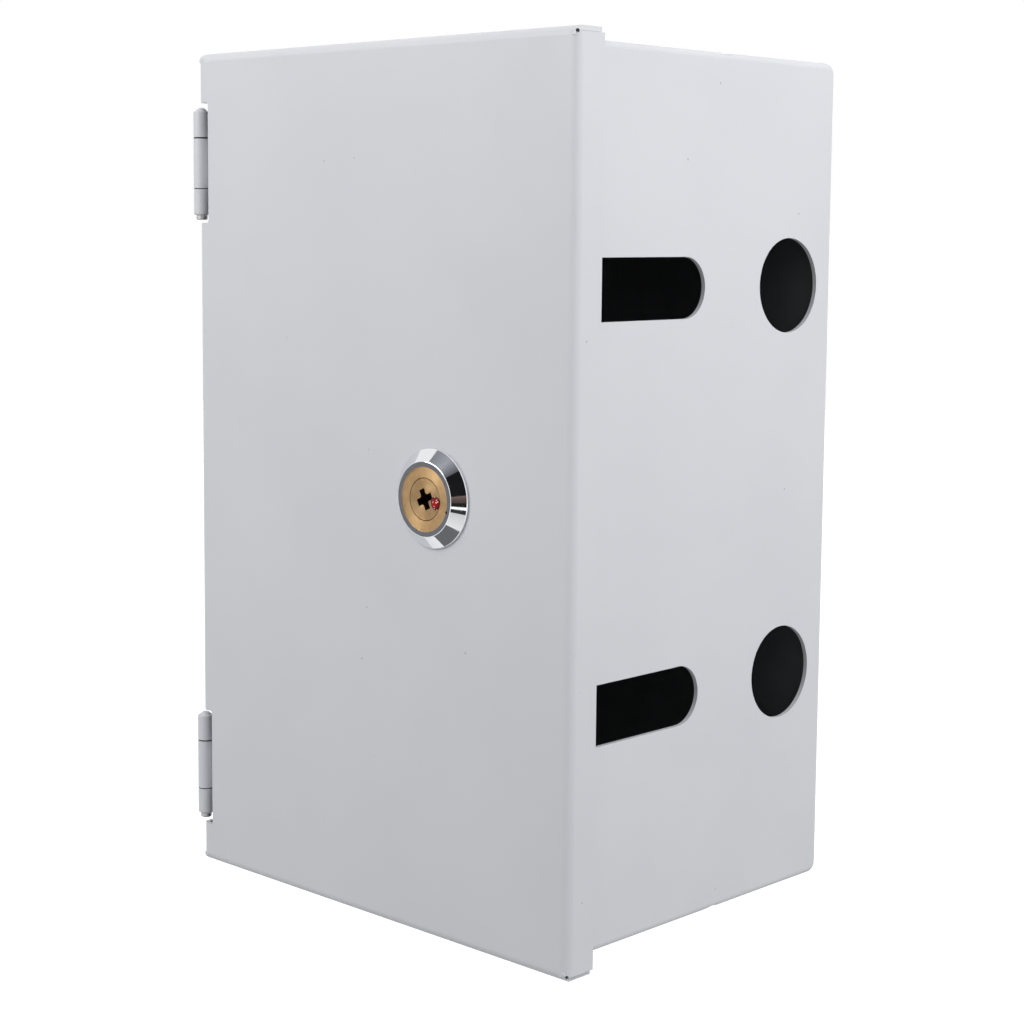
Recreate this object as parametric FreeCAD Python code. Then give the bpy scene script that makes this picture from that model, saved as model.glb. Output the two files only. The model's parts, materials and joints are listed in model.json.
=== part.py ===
import FreeCAD, Part
import math
import os

from FreeCAD import Vector

# A lockable wall box of folded sheet steel. A pan door swings on two butt hinges at its left edge
# and closes with a cross-key cam lock. The right side has two slots that are open to the front and
# two round holes for what passes into the box.
#
# Millimetres. +X is right, +Y runs back into the wall and +Z is up. The origin is the middle of the
# back face, at the centre of the four wall screw holes.

# Sheet and body
sheet = 1.2
body_width = 143.0
body_height = 228.0
body_depth = 104.1
fold_inner_radius = 1.8
seam_round = 1.8

# Openings in the right side
slot_height = 15.9
slot_length = 48.2
upper_row_from_top = 60.4
lower_row_from_bottom = 61.1
side_hole_radius = 12.8
side_hole_from_back = 19.8

# Shallow dips across the sides' top and bottom seams
dip_width = 5.0
dip_depth = 0.8
dip_reach = 3.2
dip_from_back = 47.5

# Wall screw holes in the back
wall_hole_radius = 3.25
wall_hole_spacing_x = 90.0
wall_hole_spacing_z = 160.0

# Door pan
door_overhang_left = 1.1
door_gap_top = 1.6
door_gap_bottom = 3.4
door_gap_right = 0.8
door_gap_front = 3.0
flange_depth = 9.7
door_bend_inner_radius = 1.2
lip_clearance = 0.4
flange_end_gap = 0.2
flange_inset = 1.0
corner_round = 2.8
corner_relief_radius = 0.5

# Hinges
leaf_thickness = 1.1
leaf_width = 14.0
hinge_pin_radius = 1.17
hinge_pin_clearance = 0.03
hinge_length = 29.6
end_knuckle_length = 7.4
hinge_gap_upper = 0.45
hinge_gap_lower = 0.3
hinge_sweep_clearance = 0.4
hinge_tongue_clearance = 0.2
hinge_from_door_top = 30.7
hinge_from_door_bottom = 28.3
hinge_notch_width = 4.7
hinge_notch_margin = 2.2
hinge_notch_round = 0.8
knuckle_end_round = 0.5
hinge_washer_radius = 2.2
hinge_washer_clearance = 0.03
pin_head_radius = 1.7
pin_head_height = 1.0
pin_tail_radius = 1.6
pin_tail_height = 1.4

# Lock housing, its place on the door, and what clamps it
lock_from_door_edge = 48.5
lock_from_door_bottom = 117.35
bezel_radius = 13.1
bezel_front_radius = 9.8
bezel_rim = 0.6
bezel_height = 3.4
bezel_edge_round = 0.4
bezel_undercut = 0.25
barrel_radius = 9.9
barrel_length = 22.0
barrel_end_wall = 5.0
barrel_flat_distance = 9.3
thread_pitch = 1.0
thread_depth = 0.45
lock_hole_clearance = 0.1
washer_radius = 13.4
washer_thickness = 1.0
washer_teeth = 16
washer_notch_radius = 0.8
nut_sides = 6
nut_across_flats = 26.0
nut_thickness = 4.5
nut_chamfer = 0.9
nut_clearance = 0.05

# Sleeve, core and keyway
sleeve_radius = 8.5
sleeve_recess = 0.3
stake_radius = 0.4
stake_depth = 0.6
stake_angle = 18.0
core_radius = 5.6
core_clearance = 0.05
core_end_gap = 0.1
core_edge_chamfer = 0.15
keyway_reach = 2.8
keyway_width = 1.9
keyway_round = 0.6
keyway_floor = 5.0
keyway_tilt = -25.0
dot_radius = 1.3
dot_depth = 0.35
dot_spread = 0.18
dot_rise = 0.3
dot_distance = 4.1
dot_angle = 9.5

# Tumblers: rows of pins around the keyway, at the shear line
tumbler_rows = 4
tumblers_per_row = 3
tumbler_first = 1.5
tumbler_pitch = 3.5
tumbler_radius = 1.0
tumbler_clearance = 0.03
tumbler_tip_length = 0.6
tumbler_tip_radius = 0.4
key_pin_intrusion = 0.4
driver_length = 1.3
spring_wall = 0.3

# Tail, stop, cam and screw
tail_radius = 4.0
tail_clearance = 0.05
tail_square = 5.5
tail_square_clearance = 0.05
tail_setback = 0.2
stop_gap = 0.1
stop_radius = 6.2
stop_thickness = 1.2
stop_tab_reach = 9.0
stop_tab_width = 4.0
stop_lug_inner_radius = 6.8
stop_lug_height = 1.0
stop_lug_clearance_angle = 2.0
quarter_turn = 90.0
cam_thickness = 2.0
cam_wall_gap = 6.3
cam_hub_radius = 9.0
cam_width = 13.0
cam_washer_radius = 3.9
cam_washer_thickness = 0.8
cam_screw_radius = 2.0
cam_screw_clearance = 0.02
cam_screw_bite = 10.0
screw_head_radius = 4.0
screw_head_height = 2.6
screw_slot_width = 1.0
screw_slot_depth = 1.2

# Keeper
keeper_thickness = 2.0
keeper_cam_gap = 0.6
keeper_cam_overlap = 7.7
keeper_catch_height = 26.0
keeper_foot_length = 22.0

# Cutters run this far past the faces that they open
overrun = 2.0

# Places worked out from the sizes above
half_width = body_width / 2
half_height = body_height / 2
inside_right = half_width - sheet
fold_radius = fold_inner_radius + sheet
upper_row_z = half_height - upper_row_from_top
lower_row_z = lower_row_from_bottom - half_height
door_bend_radius = door_bend_inner_radius + sheet
front = -(body_depth + door_gap_front + sheet)
door_left = -half_width - door_overhang_left
door_right = half_width + door_gap_right + sheet
door_top = half_height + door_gap_top + sheet
door_bottom = -half_height - door_gap_bottom - sheet
lip_depth = sheet + door_gap_front - lip_clearance
knuckle_radius = hinge_pin_radius + hinge_pin_clearance + leaf_thickness
hinge_x = -half_width - knuckle_radius
hinge_y = front + knuckle_radius
upper_hinge_z = door_top - hinge_from_door_top
lower_hinge_z = door_bottom + hinge_from_door_bottom
hinge_notch_half = hinge_length / 2 + hinge_notch_margin
lock_x = door_right - lock_from_door_edge
lock_z = door_bottom + lock_from_door_bottom
sleeve_front = -bezel_height + sleeve_recess
sleeve_end = barrel_length - barrel_end_wall
core_end = sleeve_end - core_end_gap
sleeve_bore = core_radius + core_clearance
stop_front = barrel_length + stop_gap
cam_front = stop_front + stop_thickness
cam_back = cam_front + cam_thickness
tail_end = cam_back - tail_setback
screw_seat = cam_back + cam_washer_thickness
screw_tip = tail_end - cam_screw_bite
cam_length = inside_right - lock_x - cam_wall_gap
keeper_catch_reach = cam_wall_gap + keeper_cam_overlap

x_axis = Vector(1, 0, 0)
y_axis = Vector(0, 1, 0)
z_axis = Vector(0, 0, 1)
origin = Vector(0, 0, 0)
full_turn = 360.0


def box(low_x, high_x, low_y, high_y, low_z, high_z):
    """A block between two corners."""
    corner = Vector(low_x, low_y, low_z)
    return Part.makeBox(high_x - low_x, high_y - low_y, high_z - low_z, corner)


def rod(radius, start, axis, length):
    """A cylinder that starts at a point and runs along an axis."""
    return Part.makeCylinder(radius, length, start, axis)


def disc(radius, low_z, high_z):
    """A cylinder about the local Z axis."""
    return rod(radius, Vector(0, 0, low_z), z_axis, high_z - low_z)


def ring(outer, inner, low_z, high_z):
    """A flat ring about the local Z axis."""
    return disc(outer, low_z, high_z).cut(disc(inner, low_z - overrun, high_z + overrun))


def turned(points):
    """A solid of revolution about the local Z axis from (radius, height) points."""
    corners = [Vector(radius, 0, height) for radius, height in points]
    profile = Part.Face(Part.makePolygon(corners + corners[:1]))
    return profile.revolve(origin, z_axis, full_turn)


def turn(shape, axis, angle):
    """The shape turned about an axis through the origin."""
    moved = shape.copy()
    moved.rotate(origin, axis, angle)
    return moved


def end_rim(shape, end):
    """The round rim at a turned piece's low (-1) or high (1) end."""
    return max((edge for edge in shape.Edges if edge.Closed), key=lambda edge: end * edge.BoundBox.ZMax)


def arc_radius(half_chord, rise):
    """The radius of the arc that rises this far over its chord."""
    return (half_chord ** 2 + rise ** 2) / (2 * rise)


def shift(shape, x, y, z):
    """The shape moved to a place."""
    moved = shape.copy()
    moved.translate(Vector(x, y, z))
    return moved


def on_lock_axis(shape):
    """Lay a lock piece on the lock's axis: local Z runs into the box from the door's front face."""
    return shift(turn(shape, x_axis, -quarter_turn), lock_x, front, lock_z)


def save(name, shape):
    """Write one piece."""
    shape.exportStep("parts/" + name + ".step")


# Body


def body_shell():
    """The open-fronted box with its back folds and ground seams, before it is split at the welds."""
    outer = box(-half_width, half_width, -body_depth, 0, -half_height, half_height)
    outer = outer.makeFillet(fold_radius, [edge for edge in outer.Edges if is_back_fold(edge)])
    outer = outer.makeFillet(seam_round, [edge for edge in outer.Edges if is_seam(edge)])
    inner = box(
        -half_width + sheet,
        half_width - sheet,
        -body_depth - overrun,
        -sheet,
        -half_height + sheet,
        half_height - sheet,
    )
    inner = inner.makeFillet(fold_inner_radius, [edge for edge in inner.Edges if is_back_fold(edge)])
    return outer.cut(inner)


def is_back_fold(edge):
    """Whether an edge runs across the back of the box."""
    return edge.BoundBox.YMin > -body_depth / 2 and edge.BoundBox.XLength > half_width


def is_seam(edge):
    """Whether an edge runs round a welded side, clear of the open front."""
    return edge.BoundBox.YMax > -body_depth / 2 and edge.BoundBox.XLength < sheet


def body_slice(low_x, high_x):
    """The part of the body shell between two weld planes."""
    tall = half_height + overrun
    return body_shell().common(box(low_x, high_x, -body_depth - overrun, overrun, -tall, tall))


def body_wrap():
    """Top, back and bottom folded from one sheet, with the wall screw holes."""
    shape = body_slice(-half_width + sheet, half_width - sheet)
    for side in (-1, 1):
        shape = with_dips(shape, side)
        for end in (-1, 1):
            place = Vector(side * wall_hole_spacing_x / 2, -sheet - overrun, end * wall_hole_spacing_z / 2)
            shape = shape.cut(rod(wall_hole_radius, place, y_axis, sheet + 2 * overrun))
    return shape


def with_dips(shape, side):
    """The shape less the dips across the top and bottom seams of the left (-1) or right (1) side."""
    radius = arc_radius(dip_width / 2, dip_depth)
    low_x = min(side * half_width, side * (half_width - dip_reach))
    for end in (-1, 1):
        place = Vector(low_x, -dip_from_back, end * (half_height + radius - dip_depth))
        shape = shape.cut(rod(radius, place, x_axis, dip_reach))
    return shape


def left_side_panel():
    """Plain welded side."""
    return with_dips(body_slice(-half_width, -half_width + sheet), -1)


def right_side_panel():
    """Welded side with the two slots and the two round holes."""
    shape = with_dips(body_slice(inside_right, half_width), 1)
    slot_round = slot_height / 2
    slot_centre = -body_depth + slot_length - slot_round
    low_x = inside_right - overrun
    high_x = half_width + overrun
    for row_z in (lower_row_z, upper_row_z):
        straight = box(
            low_x, high_x, -body_depth - overrun, slot_centre, row_z - slot_round, row_z + slot_round
        )
        shape = shape.cut(straight)
        shape = shape.cut(rod(slot_round, Vector(low_x, slot_centre, row_z), x_axis, high_x - low_x))
        hole = Vector(low_x, -side_hole_from_back, row_z)
        shape = shape.cut(rod(side_hole_radius, hole, x_axis, high_x - low_x))
    return shape


def lock_keeper():
    """Welded angle inside the right side. The cam turns behind its catch."""
    catch_tip = inside_right - keeper_catch_reach
    foot_face = inside_right - keeper_thickness
    catch_back = front + cam_front - keeper_cam_gap
    catch_front = catch_back - keeper_thickness
    foot_back = catch_front + keeper_foot_length
    low_z = lock_z - keeper_catch_height / 2
    high_z = lock_z + keeper_catch_height / 2
    catch = box(catch_tip, inside_right, catch_front, catch_back, low_z, high_z)
    foot = box(foot_face, inside_right, catch_front, foot_back, low_z, high_z)
    return catch.fuse(foot).removeSplitter()


# Door


def bent_edge(depth, length):
    """A bent edge of the pan: its outer face is local X = 0 and it runs back along local Y."""
    bend = door_bend_radius
    inner_bend = bend - sheet
    diagonal = math.sqrt(0.5)
    outer_middle = Vector(-bend + bend * diagonal, bend - bend * diagonal, 0)
    inner_middle = Vector(-bend + inner_bend * diagonal, bend - inner_bend * diagonal, 0)
    flat_front = Vector(-bend, 0, 0)
    outer_start = Vector(0, bend, 0)
    outer_end = Vector(0, depth, 0)
    inner_end = Vector(-sheet, depth, 0)
    inner_start = Vector(-sheet, bend, 0)
    flat_back = Vector(-bend, sheet, 0)
    outline = Part.Wire(
        [
            Part.Arc(flat_front, outer_middle, outer_start).toShape(),
            Part.LineSegment(outer_start, outer_end).toShape(),
            Part.LineSegment(outer_end, inner_end).toShape(),
            Part.LineSegment(inner_end, inner_start).toShape(),
            Part.Arc(inner_start, inner_middle, flat_back).toShape(),
            Part.LineSegment(flat_back, flat_front).toShape(),
        ]
    )
    return Part.Face(outline).extrude(Vector(0, 0, length))


def lock_hole():
    """Cutter for the lock's hole: round with two flats that stop the housing from turning."""
    round_part = disc(barrel_radius + lock_hole_clearance, -overrun, sheet + overrun)
    half_flat = barrel_flat_distance + lock_hole_clearance
    wide = barrel_radius + overrun
    return round_part.common(box(-half_flat, half_flat, -wide, wide, -overrun, sheet + overrun))


def left_corner(end_z, inward):
    """Cutter that rounds one of the door's two left corners."""
    centre_z = end_z + inward * corner_round
    outer_z = end_z - inward * overrun
    low_z = min(outer_z, centre_z)
    high_z = max(outer_z, centre_z)
    start_y = front - overrun
    end_y = front + flange_depth + overrun
    corner = box(door_left - overrun, door_left + corner_round, start_y, end_y, low_z, high_z)
    centre = Vector(door_left + corner_round, start_y, centre_z)
    return corner.cut(rod(corner_round, centre, y_axis, end_y - start_y))


def hinge_notch(hinge_z):
    """Cutter for the gap in the door's left edge around a hinge."""
    notch = box(
        door_left - overrun,
        door_left + hinge_notch_width,
        front - overrun,
        front + lip_depth + overrun,
        hinge_z - hinge_notch_half,
        hinge_z + hinge_notch_half,
    )
    level = [edge for edge in notch.Edges if edge.BoundBox.YLength > lip_depth]
    inner = [edge for edge in level if edge.BoundBox.XMin > door_left]
    return notch.makeFillet(hinge_notch_round, inner)


def corner_relief(height):
    """Cutter for the relief hole through both bends at one of the door's two right corners."""
    inward = Vector(-1, 1, 0).normalize()
    start = Vector(door_right, front, height) - inward * overrun
    return rod(corner_relief_radius, start, inward, overrun + 2 * door_bend_radius)


def door_panel():
    """The door pan: flanges at the top, right and bottom, and a short lip at the hinges."""
    bend = door_bend_radius
    shape = box(
        door_left + bend, door_right - bend, front, front + sheet, door_bottom + bend, door_top - bend
    )
    side_low = door_bottom + sheet + flange_end_gap
    side_length = door_top - sheet - flange_end_gap - side_low
    level_left = door_left + flange_inset
    level_right = door_right - flange_inset
    level_length = level_right - level_left
    lip = bent_edge(lip_depth, side_length).mirror(origin, x_axis)
    side_flange = bent_edge(flange_depth, side_length)
    level_flange = bent_edge(flange_depth, level_length)
    edges = [
        shift(lip, door_left, front, side_low),
        shift(side_flange, door_right, front, side_low),
        shift(turn(level_flange, y_axis, -quarter_turn), level_right, front, door_top),
        shift(turn(level_flange, y_axis, quarter_turn), level_left, front, door_bottom),
    ]
    for edge in edges:
        shape = shape.fuse(edge)
    shape = shape.removeSplitter()
    for end_z in (side_low, side_low + side_length):
        shape = shape.cut(corner_relief(end_z))
    for cutter in (left_corner(door_bottom, 1), left_corner(door_top, -1)):
        shape = shape.cut(cutter)
    for hinge_z in (lower_hinge_z, upper_hinge_z):
        shape = shape.cut(hinge_notch(hinge_z))
    return shape.cut(on_lock_axis(lock_hole()))


# Hinges


def knuckle_tube(low_z, high_z):
    """A rolled knuckle about the hinge pin, before its bore is cut."""
    return rod(knuckle_radius, Vector(hinge_x, hinge_y, low_z), z_axis, high_z - low_z)


def pin_bore(hinge_z):
    """Cutter for the pin's bore through all three knuckles."""
    start = Vector(hinge_x, hinge_y, hinge_z - hinge_length)
    return rod(hinge_pin_radius + hinge_pin_clearance, start, z_axis, 2 * hinge_length)


def hinge_body_leaf(hinge_z):
    """Leaf on the outside of the left side, with the two end knuckles."""
    panel_face = -half_width
    outside = panel_face - leaf_thickness
    leaf_start = hinge_y + knuckle_radius + hinge_sweep_clearance
    leaf_end = hinge_y + leaf_width
    low_z = hinge_z - hinge_length / 2
    high_z = hinge_z + hinge_length / 2
    shape = box(outside, panel_face, leaf_start, leaf_end, low_z, high_z)
    for end in (-1, 1):
        outer_z = hinge_z + end * hinge_length / 2
        inner_z = outer_z - end * end_knuckle_length
        tab_z = outer_z - end * knuckle_end_round
        tube = knuckle_tube(min(inner_z, outer_z), max(inner_z, outer_z))
        tube = tube.makeFillet(knuckle_end_round, [end_rim(tube, end)])
        tab = box(outside, panel_face, hinge_y, leaf_start, min(inner_z, tab_z), max(inner_z, tab_z))
        shape = shape.fuse(tab).fuse(tube)
    return shape.removeSplitter().cut(pin_bore(hinge_z))


def hinge_door_leaf(hinge_z):
    """Cranked leaf behind the door's front, with its tongue rolled into the middle knuckle."""
    low_z = hinge_z - hinge_length / 2
    high_z = hinge_z + hinge_length / 2
    knuckle_low = low_z + end_knuckle_length + hinge_gap_lower
    knuckle_high = high_z - end_knuckle_length - hinge_gap_upper
    plate_start = door_left + hinge_notch_width
    plate_end = hinge_x + leaf_width
    plate_front = front + sheet
    plate_back = plate_front + leaf_thickness
    crank_end = plate_start + leaf_thickness
    tongue_back = -body_depth - hinge_tongue_clearance
    tongue_front = tongue_back - leaf_thickness
    shape = box(plate_start, plate_end, plate_front, plate_back, low_z, high_z)
    shape = shape.fuse(box(plate_start, crank_end, plate_front, tongue_back, knuckle_low, knuckle_high))
    shape = shape.fuse(box(hinge_x, crank_end, tongue_front, tongue_back, knuckle_low, knuckle_high))
    shape = shape.fuse(knuckle_tube(knuckle_low, knuckle_high))
    return shape.removeSplitter().cut(pin_bore(hinge_z))


def hinge_washers(hinge_z):
    """Two thin washers on the pin that fill the gaps between the knuckles."""
    lower_gap = hinge_z - hinge_length / 2 + end_knuckle_length
    upper_gap = hinge_z + hinge_length / 2 - end_knuckle_length - hinge_gap_upper
    washers = []
    for gap_low, gap in ((lower_gap, hinge_gap_lower), (upper_gap, hinge_gap_upper)):
        low_z = gap_low + hinge_washer_clearance
        high_z = gap_low + gap - hinge_washer_clearance
        washer = ring(hinge_washer_radius, hinge_pin_radius + hinge_pin_clearance, low_z, high_z)
        washers.append(shift(washer, hinge_x, hinge_y, 0))
    return Part.makeCompound(washers)


def hinge_pin(hinge_z):
    """Pin with a domed head on the top knuckle and a peened end under the bottom one."""
    low = -hinge_length / 2
    high = hinge_length / 2
    shank = disc(hinge_pin_radius, low, high)
    dome_radius = arc_radius(pin_head_radius, pin_head_height)
    dome = Part.makeSphere(dome_radius, Vector(0, 0, high + pin_head_height - dome_radius))
    head = disc(pin_head_radius, high, high + pin_head_height).common(dome)
    tail = disc(pin_tail_radius, low - pin_tail_height, low)
    tail = tail.makeFillet(pin_tail_radius - hinge_pin_radius, [end_rim(tail, -1)])
    return shift(shank.fuse(head).fuse(tail).removeSplitter(), hinge_x, hinge_y, hinge_z)


# Lock, in local coordinates: Z runs into the box from the door's front face, X right and Y down


def stop_lugs():
    """Raised arc on the barrel's end that leaves the stop washer a quarter turn."""
    tab_half = math.degrees(math.asin(stop_tab_width / 2 / stop_lug_inner_radius))
    margin = tab_half + stop_lug_clearance_angle
    arc = full_turn - quarter_turn - 2 * margin
    wide = 2 * barrel_radius
    sector = Part.makeCylinder(wide, stop_lug_height, Vector(0, 0, barrel_length), z_axis, arc)
    sector = turn(sector, z_axis, 2 * quarter_turn + margin)
    lug_ring = ring(
        barrel_radius - thread_depth, stop_lug_inner_radius, barrel_length, barrel_length + stop_lug_height
    )
    return lug_ring.common(sector)


def lock_housing():
    """Bezel and threaded barrel in one casting, with two flats and the stop lugs."""
    tail_bore = tail_radius + tail_clearance
    threads = int((barrel_length - sheet - 2 * thread_pitch) / thread_pitch)
    first_thread = sheet + thread_pitch / 2
    points = [
        (sleeve_radius, -bezel_height),
        (bezel_front_radius, -bezel_height),
        (bezel_radius, -bezel_rim),
        (bezel_radius, -bezel_undercut),
        (bezel_radius - bezel_undercut, 0),
        (barrel_radius, 0),
        (barrel_radius, first_thread),
    ]
    for index in range(threads):
        start = first_thread + index * thread_pitch
        points.append((barrel_radius - thread_depth, start + thread_pitch / 2))
        points.append((barrel_radius, start + thread_pitch))
    points += [
        (barrel_radius, barrel_length),
        (tail_bore, barrel_length),
        (tail_bore, sleeve_end),
        (sleeve_radius, sleeve_end),
    ]
    shape = turned(points)
    wide = 2 * bezel_radius
    for side in (-1, 1):
        near = side * barrel_flat_distance
        far = side * wide
        flat = box(min(near, far), max(near, far), -wide, wide, 0, barrel_length + overrun)
        shape = shape.cut(flat)
    shape = shape.fuse(stop_lugs()).removeSplitter()
    rims = [edge for edge in shape.Edges if is_bezel_rim(edge)]
    return shape.makeFillet(bezel_edge_round, rims).cut(stake_mark())


def stake_mark():
    """Cutter for the punch mark over the joint that keeps the sleeve from turning in the housing."""
    angle = math.radians(stake_angle)
    across = sleeve_radius * math.cos(angle)
    down = sleeve_radius * math.sin(angle)
    return rod(stake_radius, Vector(across, down, sleeve_front + stake_depth), -z_axis, bezel_height)


def is_bezel_rim(edge):
    """Whether an edge is one of the bezel's two outer rims."""
    reach = edge.BoundBox
    front_rim = abs(reach.XMax - bezel_front_radius) < bezel_edge_round and reach.ZMax < -bezel_rim
    wide_rim = abs(reach.XMax - bezel_radius) < bezel_edge_round and reach.ZMax < -bezel_rim / 2
    round_edge = isinstance(edge.Curve, Part.Circle)
    return round_edge and (front_rim or wide_rim)


def lock_nut():
    """Hexagon nut that clamps the housing to the door."""
    low = sheet + washer_thickness
    high = low + nut_thickness
    corner = nut_across_flats / 2 / math.cos(math.pi / nut_sides)
    corners = []
    for index in range(nut_sides):
        angle = 2 * math.pi * index / nut_sides
        corners.append(Vector(corner * math.cos(angle), corner * math.sin(angle), low))
    outline = Part.makePolygon(corners + corners[:1])
    hexagon = Part.Face(outline).extrude(Vector(0, 0, nut_thickness))
    face_radius = nut_across_flats / 2
    limit = turned(
        [
            (0, low),
            (face_radius, low),
            (face_radius + 2 * nut_chamfer, low + nut_chamfer),
            (face_radius + 2 * nut_chamfer, high - nut_chamfer),
            (face_radius, high),
            (0, high),
        ]
    )
    bore = disc(barrel_radius + nut_clearance, low - overrun, high + overrun)
    return hexagon.common(limit).cut(bore)


def lock_washer():
    """Toothed washer between the door and the nut."""
    shape = ring(washer_radius, barrel_radius + nut_clearance, sheet, sheet + washer_thickness)
    for index in range(washer_teeth):
        angle = 2 * math.pi * index / washer_teeth
        start = Vector(washer_radius * math.cos(angle), washer_radius * math.sin(angle), sheet - overrun)
        shape = shape.cut(rod(washer_notch_radius, start, z_axis, washer_thickness + 2 * overrun))
    return shape


def radial_rods(radius, inner, outer):
    """One rod along each tumbler's line, between two distances from the lock's axis."""
    rods = []
    for row in range(tumbler_rows):
        angle = math.radians(keyway_tilt + full_turn * row / tumbler_rows)
        outward = Vector(math.cos(angle), math.sin(angle), 0)
        for index in range(tumblers_per_row):
            middle = Vector(0, 0, tumbler_first + index * tumbler_pitch)
            rods.append(rod(radius, middle + outward * inner, outward, outer - inner))
    return rods


def lock_sleeve():
    """Brass shell in the housing, with the tumblers' bores."""
    shape = ring(sleeve_radius, sleeve_bore, sleeve_front, sleeve_end)
    for bore in radial_rods(tumbler_radius + tumbler_clearance, 0, sleeve_radius + overrun):
        shape = shape.cut(bore)
    return shape.cut(stake_mark())


def keyway():
    """Cutter for the cross keyway, with rounded inner corners."""
    start = sleeve_front - overrun
    end = core_end - keyway_floor
    half = keyway_width / 2
    level = box(-keyway_reach, keyway_reach, -half, half, start, end)
    upright = box(-half, half, -keyway_reach, keyway_reach, start, end)
    cross = level.fuse(upright).removeSplitter()
    inner = [edge for edge in cross.Edges if is_inner_corner(edge, half)]
    return turn(cross.makeFillet(keyway_round, inner), z_axis, keyway_tilt)


def is_inner_corner(edge, half):
    """Whether an edge runs along the depth of the cross where two arms meet."""
    middle = edge.BoundBox.Center
    near = abs(abs(middle.x) - half) < keyway_round / 2 and abs(abs(middle.y) - half) < keyway_round / 2
    return near and edge.BoundBox.ZLength > keyway_width


def dot_place():
    """The middle of the enamel dot on the core's face."""
    angle = math.radians(dot_angle)
    return Vector(dot_distance * math.cos(angle), dot_distance * math.sin(angle), sleeve_front)


def lock_core():
    """Brass plug with the keyway, the key pins' bores and the square tail."""
    barrel = disc(core_radius, sleeve_front, core_end)
    barrel = barrel.makeChamfer(core_edge_chamfer, [end_rim(barrel, -1)])
    neck = disc(tail_radius, core_end, stop_front)
    half = tail_square / 2
    square = box(-half, half, -half, half, stop_front, tail_end)
    shape = barrel.fuse(neck).fuse(square).removeSplitter()
    shape = shape.cut(keyway())
    for bore in radial_rods(tumbler_radius + tumbler_clearance, keyway_width / 2, core_radius + overrun):
        shape = shape.cut(bore)
    shape = shape.cut(rod(dot_radius, dot_place(), z_axis, dot_depth))
    tapped = disc(cam_screw_radius, screw_tip - cam_screw_clearance, tail_end + overrun)
    return shape.cut(tapped)


def key_pins():
    """Pins in the core, lifted to the shear line."""
    inner = keyway_reach - key_pin_intrusion
    limit = disc(core_radius - tumbler_clearance, sleeve_front, core_end)
    pins = []
    for row in range(tumbler_rows):
        angle = keyway_tilt + full_turn * row / tumbler_rows
        for index in range(tumblers_per_row):
            height = tumbler_first + index * tumbler_pitch
            tip = Part.makeCone(
                tumbler_tip_radius, tumbler_radius, tumbler_tip_length, Vector(inner, 0, height), x_axis
            )
            stem_start = Vector(inner + tumbler_tip_length, 0, height)
            stem = rod(tumbler_radius, stem_start, x_axis, core_radius)
            pins.append(turn(tip.fuse(stem).removeSplitter().common(limit), z_axis, angle))
    return Part.makeCompound(pins)


def driver_pins():
    """Pins in the sleeve, just outside the shear line."""
    inner = sleeve_bore + core_clearance
    core_space = disc(inner, sleeve_front, sleeve_end)
    pins = radial_rods(tumbler_radius, core_radius / 2, inner + driver_length)
    return Part.makeCompound([pin.cut(core_space) for pin in pins])


def tumbler_springs():
    """Springs behind the driver pins, as plain sleeves of the coils' size."""
    inner = sleeve_bore + core_clearance + driver_length
    limit = disc(sleeve_radius, sleeve_front, sleeve_end)
    tubes = radial_rods(tumbler_radius, inner, sleeve_radius + overrun)
    hollows = radial_rods(tumbler_radius - spring_wall, inner - overrun, sleeve_radius + 2 * overrun)
    springs = [tube.cut(hollow).common(limit) for tube, hollow in zip(tubes, hollows)]
    return Part.makeCompound(springs)


def index_dot():
    """Drop of enamel in the core's face, domed and a little wider than its recess."""
    cap_radius = dot_radius + dot_spread
    dome_radius = arc_radius(cap_radius, dot_rise)
    dome = Part.makeSphere(dome_radius, Vector(0, 0, dome_radius - dot_rise))
    cap = disc(cap_radius, -dot_rise, 0).common(dome)
    drop = disc(dot_radius, 0, dot_depth).fuse(cap).removeSplitter()
    place = dot_place()
    return shift(drop, place.x, place.y, place.z)


def square_hole(low_z, high_z):
    """Cutter for the square hole of a piece on the core's tail."""
    half = tail_square / 2 + tail_square_clearance
    return box(-half, half, -half, half, low_z - overrun, high_z + overrun)


def stop_washer():
    """Washer on the square tail whose tab runs between the stop lugs."""
    half = stop_tab_width / 2
    shape = disc(stop_radius, stop_front, cam_front)
    shape = shape.fuse(box(-half, half, 0, stop_tab_reach, stop_front, cam_front)).removeSplitter()
    return shape.cut(square_hole(stop_front, cam_front))


def lock_cam():
    """Flat cam on the square tail, upright when the box is unlocked."""
    half = cam_width / 2
    shape = disc(cam_hub_radius, cam_front, cam_back)
    shape = shape.fuse(box(-half, half, half - cam_length, 0, cam_front, cam_back))
    tip = rod(half, Vector(0, half - cam_length, cam_front), z_axis, cam_thickness)
    return shape.fuse(tip).removeSplitter().cut(square_hole(cam_front, cam_back))


def cam_washer():
    """Spring washer under the cam screw's head."""
    return ring(cam_washer_radius, cam_screw_radius + cam_screw_clearance, cam_back, screw_seat)


def cam_screw():
    """Slotted screw in the tail's end."""
    shank = disc(cam_screw_radius - cam_screw_clearance, screw_tip, screw_seat)
    head_end = screw_seat + screw_head_height
    shape = shank.fuse(disc(screw_head_radius, screw_seat, head_end)).removeSplitter()
    half = screw_slot_width / 2
    wide = screw_head_radius + overrun
    return shape.cut(box(-wide, wide, -half, half, head_end - screw_slot_depth, head_end + overrun))


os.makedirs("parts", exist_ok=True)

body_pieces = (body_wrap, left_side_panel, right_side_panel, lock_keeper, door_panel)
for piece in body_pieces:
    save(piece.__name__, piece())

for place_name, hinge_height in (("upper", upper_hinge_z), ("lower", lower_hinge_z)):
    save(place_name + "_hinge_body_leaf", hinge_body_leaf(hinge_height))
    save(place_name + "_hinge_door_leaf", hinge_door_leaf(hinge_height))
    save(place_name + "_hinge_pin", hinge_pin(hinge_height))
    save(place_name + "_hinge_washers", hinge_washers(hinge_height))

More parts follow.
